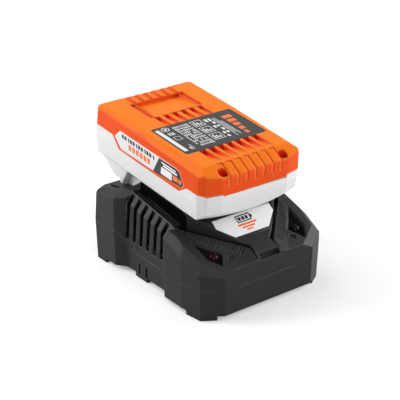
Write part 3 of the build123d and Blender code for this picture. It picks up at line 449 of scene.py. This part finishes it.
dress(ferrite, "transformer_core")
dress(tape, "transformer_winding")
dress(enamel, "line_choke")
dress(sleeve, "bulk_capacitor", "output_capacitors")
dress(fuse_cap, "fuse")
dress(aluminium, "heat_sink")
dress(epoxy, "power_transistors")
dress(wire_sleeve, "supply_leads", "output_leads")
dress(led_epoxy, "indicator_leds")

# Mains inlet and contact block: black inserts that carry the pins and the charging blades.
# The block stands behind the front plate and its blades reach into the pack's rail tower.
insert_black = moulded("insert_black", (0.012, 0.012, 0.013), roughness=0.42, depth=0.00002, cloud=0.1)
dress(insert_black, "mains_inlet", "contact_block", "terminal_carrier")

# Charger top housing: faceted charcoal moulding with vent slots, ears and the pack's channel.
# Same nylon as the base, screwed to it from below.
with_broken_edges("charger_top_housing", 0.0005, charcoal, "charger", on_parting)

# Rim highlights, shaded corners and rear slit shadows: where the pack's flanks pass, a pale highlight is
# painted along the rim's narrow crest, the corner beside the guide is painted black as shade, and the block
# behind has one dark slit of shadow painted on each side. All three are marks on the top housing.
# Pale grey painted as a highlight along the rim's crest.
rim_highlight = moulded("rim_highlight_nylon", (0.17, 0.17, 0.17), roughness=0.5, grain_scale=1800.0, depth=0.00002,
                 cloud=0.6, gloss=0.4)
# Black painted where shade falls: in the corner beside the guide and in the rear slits.
shadow_black = moulded("shadow_black", (0.0012, 0.0012, 0.0012), roughness=0.9, gloss=0.02)
mark_lift = 0.03


def housing_marks(name, material, outlines):
    """The same flat marks on both sides of the top housing: places out, behind the front and up, in mm."""
    points, faces = [], []
    for side in (-1, 1):
        for outline in outlines:
            around = [Vector((side * x, charger_front + s, z)) / 1000 for x, s, z in outline]
            faces.append(list(range(len(points), len(points) + len(around))))
            points += around if side > 0 else around[::-1]
    mesh = bpy.data.meshes.new(name)
    mesh.from_pydata(points, [], faces)
    mesh.materials.append(material)
    placed(name, mesh, "charger")


def laid(outline, line, lift=mark_lift):
    """Outline with its heights, just over the slope that runs along a line of setbacks and heights."""
    return [(x, s, height_on(line, s) + lift) for x, s in outline]


rim_line = ((37.4, 49.0), (92.6, 58.2))
shelf_line = ((47.6, 49.9), (92.6, 57.4))
rear_line = ((92.6, 58.2), (126.7, 52.4))
guide_side = 36.6 + mark_lift
guide_outline = ((40.6, 43.8), (47.6, 49.95), (92.5, 57.45), (91.1, 64.4), (45.2, 60.2), (40.6, 58.4))
rim_outline = [(42.5, 48.2), (43.2, 48.2), (43.2, 92.0), (42.5, 92.0)]
shelf_outline = [(36.65, 47.7), (38.0, 47.7), (38.0, 92.5), (36.65, 92.5)]
slit_shadow_outline = [(40.8, 110.5), (43.1, 108.8), (43.7, 116.5), (41.5, 121.0)]
housing_marks("rim_highlights", rim_highlight, [laid(rim_outline, rim_line)])
# The corner beside the guide is painted black as shade.
housing_marks("shaded_corners", shadow_black, [[(guide_side, s, z) for s, z in guide_outline],
                                             laid(shelf_outline, shelf_line)])
# A dark slit of shadow is painted on each side of the rear block.
housing_marks("rear_slit_shadows", shadow_black, [laid(slit_shadow_outline, rear_line)])

# Indicator lenses: tinted clear domes in the ears' pockets, pushed in from inside.
# Unlit, the left one is a very dark red and the right one nearly black.


def lens(name, tint, depth_tint):
    """Dark tinted acrylic that catches sharp highlights."""
    made, tree, shader = bare_material(name)
    bubble_scale, polish, shine = 600.0, 0.05, 0.07
    bubbles = noise(tree, add(tree, "ShaderNodeTexCoord").outputs["Object"], bubble_scale)
    feed(tree, shader, {"Base Color": mixed(tree, bubbles, (*tint, 1), (*depth_tint, 1)),
                        "Roughness": polish, "Specular IOR Level": shine})
    return made


dress(lens("lens_red", (0.024, 0.0005, 0.003), (0.008, 0.0002, 0.001)), "led_lens_red")
dress(lens("lens_green", (0.001, 0.003, 0.002), (0.0005, 0.001, 0.001)), "led_lens_green")

# Lens pocket shadows: matt black marks painted as shade on the floors of the two deep pockets, so that the
# lenses stand out.
# Flat marks, laid round the lens.
front_line = ((0.0, 34.7), (37.4, 49.0))
pocket_outline = ((40.9, 30.1), (27.3, 15.1), (34.1, 5.4), (40.0, 14.4))
pocket_depth, shadow_lift, shadow_share = 2.2, 0.06, 0.95
pocket_shadow_black = moulded("pocket_shadow_black", (0.0015, 0.0015, 0.0015), roughness=0.8, gloss=0.05)
pocket_middle = [sum(p[k] for p in pocket_outline) / len(pocket_outline) for k in (0, 1)]
shadow_outline = [[m + shadow_share * (c - m) for c, m in zip(p, pocket_middle)] for p in pocket_outline]
housing_marks("lens_pocket_shadows", pocket_shadow_black, [laid(shadow_outline, front_line, shadow_lift - pocket_depth)])

# Front plate: white six-sided label plate on the slope in front of the receiver, glued in its recess.
# Its print is a plain battery sign in dark ink over orange bars.
satin_white = moulded("plate_white", (0.9, 0.9, 0.91), roughness=0.3, depth=0.00001, cloud=0.03)
with_broken_edges("front_plate", 0.0002, satin_white, "charger")


def ink(name, colour):
    """Screen-printed ink, a little uneven."""
    return moulded(name, colour, roughness=0.42, grain_scale=1500.0, depth=0.000005, cloud=0.12)


ink_dark = ink("ink_dark", (0.012, 0.012, 0.014))
ink_orange = ink("ink_orange", (0.9, 0.17, 0.015))
ink_white = ink("ink_white", (0.82, 0.82, 0.82))


def bar(u0, v0, u1, v1, slant=0.0):
    """Four corners of a bar, leaning by slant."""
    return [(u0, v0), (u1, v0), (u1 + slant, v1), (u0 + slant, v1)]


def frame_of(u0, v0, u1, v1, line):
    """Four bars that make a frame."""
    return [bar(u0, v0, u1, v0 + line), bar(u0, v1 - line, u1, v1),
            bar(u0, v0 + line, u0 + line, v1 - line), bar(u1 - line, v0 + line, u1, v1 - line)]


def outward_face(name, way, agreement=0.5):
    """Centre and normal of the largest face of a CAD solid that looks roughly the given way."""
    faces = [f for f in nodes[name].data.polygons if f.normal.dot(Vector(way)) > agreement]
    largest = max(faces, key=lambda f: f.area)
    return largest.center.copy(), largest.normal.copy()


ink_lift = 0.00003


def printed(name, outlines, place, material, body, lift=ink_lift):
    """Flat marks given in millimetres on a face, lifted off it by the ink's thickness."""
    mesh = bpy.data.meshes.new(name)
    points, faces = [], []
    for outline in outlines:
        faces.append(list(range(len(points), len(points) + len(outline))))
        points += [place(u, v, lift) for u, v in outline]
    mesh.from_pydata(points, [], faces)
    mesh.materials.append(material)
    placed(name, mesh, body)


plate_centre, plate_normal = outward_face("front_plate", (0, -0.59, 0.8))
plate_up = Vector((0, plate_normal.z, -plate_normal.y))
plate_low, plate_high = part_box("front_plate")
plate_middle = Vector((0, (plate_low.y + plate_high.y) / 2, 0))
plate_middle.z = plate_centre.z - (plate_middle.y - plate_centre.y) * plate_normal.y / plate_normal.z


def on_plate(u, v, lift):
    """Point on the front plate: u to the right, v up the slope, in millimetres from its middle."""
    return plate_middle + Vector((u / 1000, 0, 0)) + plate_up * (v / 1000) + plate_normal * lift


battery_sign = frame_of(-6.6, 0.2, 5.0, 5.6, 0.85) + [bar(5.0, 1.8, 6.3, 4.0)]
battery_sign += [bar(-5.2, 1.6, -2.9, 4.2), bar(-2.3, 1.6, 0.0, 4.2), bar(0.6, 1.6, 2.9, 4.2)]
printed("plate_print_dark", battery_sign, on_plate, ink_dark, "charger")
stripes = [bar(-7.6, -2.2, 7.4, -0.7), bar(-5.2, -4.3, 5.0, -3.0), bar(-2.8, -6.2, 2.6, -5.1)]
printed("plate_print_orange", stripes, on_plate, ink_orange, "charger")

# Battery pack, lower shell: off-white moulding with the slide rails, the rail tower and the tail.
# The release button sits in its tail over a wire spring.
off_white = moulded("off_white", (0.78, 0.78, 0.78), roughness=0.45, grain_scale=2200.0, depth=0.00002,
                    cloud=0.04, gloss=0.3, edge_radius=0.0014)
with_broken_edges("pack_lower_shell", 0.0006, off_white, "pack")
button_grey = moulded("button_grey", (0.1, 0.1, 0.105), roughness=0.4)
dress(button_grey, "release_button")

# Release spring: the wire coil between the button and the bridge over it in the pack's tail.
# Its upper end stays against the bridge.
pack_pitch = radians(5.13)
pack_place = Matrix.Translation((0, 0.009209, 0.1021)) @ Matrix.Rotation(pack_pitch, 4, "X")
end_angle = radians(50)
coil_steel = metal("spring_wire", (0.5, 0.51, 0.53), (0.3, 0.3, 0.3), roughness=0.3)
coil_mesh, wire = merged_copy("release_spring", "release_spring_coil", coil_steel)
for face in wire.faces:
    face.smooth = True
for edge in wire.edges:
    edge.smooth = edge.calc_face_angle(0) < end_angle
wire.to_mesh(coil_mesh)
wire.free()
coil = placed("release_spring_coil", coil_mesh, "pack")
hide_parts("release_spring")
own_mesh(coil)

# Cells: six steel cans in a printed sleeve, between two moulded holders and joined by nickel straps.
# They lie across the pack under the top shell.
cell_wrap = moulded("cell_wrap", (0.03, 0.12, 0.3), roughness=0.3, grain_scale=1200.0, depth=0.00001,
                    cloud=0.1)
dress(cell_wrap, "pack_cells")
holder_black = moulded("holder_black", (0.02, 0.02, 0.022), roughness=0.5, grain_scale=2000.0, cloud=0.1)
dress(holder_black, "cell_holder_left", "cell_holder_right")

# Top shell of the pack: orange moulding with cooling slots, a sunk panel and two deep screw wells.
# Clipped and screwed to the lower shell along the stepped seam.
# Painted on the orange: dark red shade in its hollows, a lighter colour on faces that look up as painted
# light, and pale highlights along its edges.
orange = moulded("orange_abs", (0.82, 0.075, 0.004), roughness=0.45, grain_scale=2200.0, depth=0.00002,
                 cloud=0.06, gloss=0.12, hollow_shade=(0.75, 0.018, 0.002), top_light=(0.95, 0.215, 0.01), reach=0.008,
                 edge=(1.0, 0.3, 0.05), edge_highlight=0.5, edge_radius=0.0022)
with_broken_edges("pack_top_shell", 0.0005, orange, "pack")

# Groove floors: ribs of the same orange moulding that half fill the grooves over the front crease.
# They run down from the shallow steps beside the slots to the foot of each groove.
groove_orange = moulded("groove_orange", (0.85, 0.085, 0.004), roughness=0.5, grain_scale=2200.0,
                        depth=0.00002, cloud=0.06, gloss=0.1)
groove_count, groove_spacing, groove_half, step_length = 7, 7.0, 0.56, 3.5
groove_run = ((-56.2, 0.3), (-57.1, 0.75), (-66.15, 5.35), (-66.35, 11.9))


def made_real(tree, instances, finish, out):
    """End of a geometry nodes tree: its instances as one real mesh in one material."""
    real = add(tree, "GeometryNodeRealizeInstances", {"Geometry": instances})
    finished = add(tree, "GeometryNodeSetMaterial", {
        "Geometry": real.outputs["Geometry"], "Material": finish})
    feed(tree, out, {"Geometry": finished.outputs["Geometry"]})


def row_tree():
    """Geometry nodes: one unit repeated in a straight row."""
    tree, given, out = new_group("unit_row", "GeometryNodeTree", {
        "Unit": "Geometry", "Count": "Int", "Start": "Vector", "Step": "Vector", "Finish": "Material",
    }, {"Geometry": "Geometry"})
    spots = add(tree, "GeometryNodeMeshLine", {
        "Count": given["Count"], "Start Location": given["Start"], "Offset": given["Step"]})
    row = add(tree, "GeometryNodeInstanceOnPoints", {
        "Points": spots.outputs["Mesh"], "Instance": given["Unit"]})
    made_real(tree, row.outputs["Instances"], given["Finish"], out)
    return tree


def grown(name, tree, values, unit=None):
    """Mesh that a geometry nodes tree makes from the given inputs and, where it repeats one, a unit mesh."""
    host = bpy.data.objects.new(name, unit or bpy.data.meshes.new(name))
    scene.collection.objects.link(host)
    modifier = host.modifiers.new(name, "NODES")
    modifier.node_group = tree
    for item in tree.interface.items_tree:
        if item.in_out == "INPUT" and item.name in values:
            modifier[item.identifier] = values[item.name]
    reading = bpy.context.evaluated_depsgraph_get()
    made = bpy.data.meshes.new_from_object(host.evaluated_get(reading), depsgraph=reading)
    made.name = name
    bpy.data.objects.remove(host)
    return made


rib_points, rib_faces = [], []
for (y0, d0), (y1, d1) in zip(groove_run, groove_run[1:]):
    left = step_length if y0 == groove_run[0][0] else groove_half
    quad = [(-left, y0, d0), (-left, y1, d1), (groove_half, y1, d1), (groove_half, y0, d0)]
    rib_faces.append(list(range(len(rib_points), len(rib_points) + 4)))
    rib_points += [Vector((x, y, -d)) / 1000 for x, y, d in quad]
rib = bpy.data.meshes.new("groove_rib")
rib.from_pydata(rib_points, [], rib_faces)
first_rib = -(groove_count - 1) / 2 * groove_spacing / 1000
ribs = grown("groove_floors", row_tree(), {
    "Count": groove_count, "Start": (first_rib, 0.0, 0.0), "Step": (groove_spacing / 1000, 0.0, 0.0),
    "Finish": groove_orange}, rib)
ribs.transform(pack_place)
placed("groove_floors", ribs, "pack")

# Labels of the pack: dark satin foil on top, and a white and dark foil on each side.
# Plain bars, boxes and rings in white and orange ink stand where a real label has its text.
foil_dark = moulded("foil_dark", (0.045, 0.046, 0.047), roughness=0.45, grain_scale=1500.0, depth=0.000008,
                    cloud=0.05, gloss=0.15)
foil_white = moulded("foil_white", (0.74, 0.75, 0.76), roughness=0.3, grain_scale=1500.0, depth=0.000006,
                     cloud=0.03)
dress(foil_dark, "top_label")
dress(foil_white, "side_label_left", "side_label_right")


def on_top_label(u, v, lift):
    """Point on the top label: u across the pack, v along it, in millimetres from its datum line."""
    return pack_place @ Vector((u / 1000, v / 1000, lift))


def ring(u, v, radius, line, sides=20):
    """Flat ring as a row of four-cornered pieces."""
    spots = [(cos(tau * i / sides), sin(tau * i / sides)) for i in range(sides + 1)]
    inner = radius - line
    return [[(u + radius * c0, v + radius * s0), (u + radius * c1, v + radius * s1),
             (u + inner * c1, v + inner * s1), (u + inner * c0, v + inner * s0)]
            for (c0, s0), (c1, s1) in zip(spots, spots[1:])]


white_marks = [bar(-31.4, -32.4, -28.4, 0.8)]
white_marks += ring(-24.0, -0.9, 2.9, 0.6) + [bar(-25.0, -1.9, -23.0, 0.1)]
white_marks += [bar(-26.2, -9.8, -25.2, -6.0), bar(-24.5, -9.8, -23.5, -6.0), bar(-22.8, -9.8, -21.8, -6.0)]
white_marks += frame_of(-26.2, -17.4, -21.4, -12.4, 0.4)
white_marks += [bar(-25.4, -32.2, -24.4, -28.4), bar(-23.4, -32.2, -22.9, -25.4)]
box_top, box_pitch = -3.9, 10.6
for row in range(3):
    low = box_top - box_pitch * row
    white_marks += frame_of(-4.2, low - 4.4, 4.4, low + 4.2, 0.5)
    white_marks += [bar(-2.6, low - 2.8, -1.4, low + 2.6), bar(-0.6, low - 2.8, 0.6, low + 1.2)]
    white_marks += [bar(1.4, low - 2.8, 2.6, low - 0.2)]
white_marks += [bar(12.5, -31.4, 13.1, -2.6), bar(14.2, -26.8, 14.8, -2.6), bar(15.9, -30.2, 16.5, -8.4)]
printed("top_label_marks", white_marks, on_top_label, ink_white, "pack")
block_pitch, block_shrink = 6.1, 1.1
orange_marks = [bar(20.0, -7.4 - block_pitch * i, 27.4 - block_shrink * i, -3.2 - block_pitch * i)
                for i in range(5)]
printed("top_label_orange", orange_marks, on_top_label, ink_orange, "pack")


def word_rows():
    """Geometry nodes: rows of short bars of random length, as lines of small print."""
    tree, given, out = new_group("word_rows", "GeometryNodeTree", {
        "Lines": "Int", "Words": "Int", "Line Pitch": "Float", "Word Pitch": "Float", "Bar Height": "Float",
        "Seed": "Int", "Ink": "Material"}, {"Geometry": "Geometry"})

    def span(count, pitch):
        return maths(tree, "MULTIPLY", maths(tree, "SUBTRACT", given[count], 1.0), given[pitch])

    shortest, longest, share_kept = 0.45, 0.92, 0.9
    spots = add(tree, "GeometryNodeMeshGrid", {
        "Vertices X": given["Lines"], "Vertices Y": given["Words"], "Size X": span("Lines", "Line Pitch"),
        "Size Y": span("Words", "Word Pitch")})
    length = add(tree, "FunctionNodeRandomValue", {2: shortest, 3: longest, "Seed": given["Seed"]},
                 data_type="FLOAT").outputs[1]
    size = add(tree, "ShaderNodeCombineXYZ", {
        "X": given["Bar Height"], "Y": maths(tree, "MULTIPLY", length, given["Word Pitch"]), "Z": 1.0})
    kept = add(tree, "FunctionNodeRandomValue", {"Probability": share_kept, "Seed": given["Seed"]},
               data_type="BOOLEAN").outputs[3]
    mark = add(tree, "GeometryNodeMeshGrid", {"Vertices X": 2, "Vertices Y": 2, "Size X": 1.0, "Size Y": 1.0})
    rows = add(tree, "GeometryNodeInstanceOnPoints", {
        "Points": spots.outputs["Mesh"], "Instance": mark.outputs["Mesh"], "Scale": size.outputs["Vector"],
        "Selection": kept})
    made_real(tree, rows.outputs["Instances"], given["Ink"], out)
    return tree


word_tree = word_rows()


def small_print(name, centre, values):
    """Lines of small print about a point of the top label."""
    mesh = grown(name, word_tree, {**values, "Ink": ink_white})
    for v in mesh.vertices:
        v.co = on_top_label(centre[0] + v.co.x, centre[1] + v.co.y, ink_lift)
    placed(name, mesh, "pack")


small_print("top_label_lines", (-12.4, -15.8), {
    "Lines": 8, "Words": 10, "Line Pitch": 1.6, "Word Pitch": 3.2, "Bar Height": 0.85, "Seed": 3})
small_print("top_label_heading", (8.9, -16.0), {
    "Lines": 2, "Words": 6, "Line Pitch": 2.9, "Word Pitch": 5.0, "Bar Height": 1.9, "Seed": 8})


def side_place(name, way):
    """Function that gives the point of a side label at a place along and above the pack's datum."""
    spot, normal = outward_face(name, way)
    back = pack_place.inverted()
    spot, normal = back @ spot, back.to_3x3() @ normal

    def on_side(u, v, lift):
        flat = Vector((0, u / 1000, v / 1000))
        flat.x = spot.x - ((flat.y - spot.y) * normal.y + (flat.z - spot.z) * normal.z) / normal.x
        return pack_place @ (flat + normal * lift)

    return on_side


side_panel = [[(-17.6, -8.6), (-12.3, -20.3), (-14.5, -20.3), (-43.4, -18.4), (-44.7, -15.8), (-39.5, -9.2),
               (-36.4, -8.3)]]
dash_pitch, dash_lengths = 3.15, (1.5, 2.4, 2.4)
side_dashes = []
for i in range(12):
    start = -12.8 + dash_pitch * i
    side_dashes.append(bar(start, -12.3, start + dash_lengths[i % 3], -9.6, 0.5))
side_block_pitch = 4.3
side_blocks = [bar(-8.8 + side_block_pitch * i, -17.6, -8.8 + side_block_pitch * i + 3.1, -13.8, 0.7)
               for i in range(6)]
side_blocks += [bar(-38.6, -17.2, -33.4, -13.9), bar(-42.6, -17.0, -39.4, -14.2)]
side_boxes = [bar(-32.4, -18.4, -20.6, -13.6), bar(-37.4, -12.8, -22.4, -11.5),
              bar(-35.8, -11.0, -20.6, -10.0)]
panel_lift, over_panel = 0.00002, 0.00004
for side, way in (("left", (-1, 0, 0)), ("right", (1, 0, 0))):
    on_side = side_place("side_label_" + side, way)
    for name, marks, finish, lift in (("side_panel_", side_panel, foil_dark, panel_lift),
                                      ("side_print_dark_", side_dashes, ink_dark, over_panel),
                                      ("side_print_orange_", side_blocks, ink_orange, over_panel),
                                      ("side_print_white_", side_boxes, ink_white, over_panel)):
        printed(name + side, marks, on_side, finish, "pack", lift)
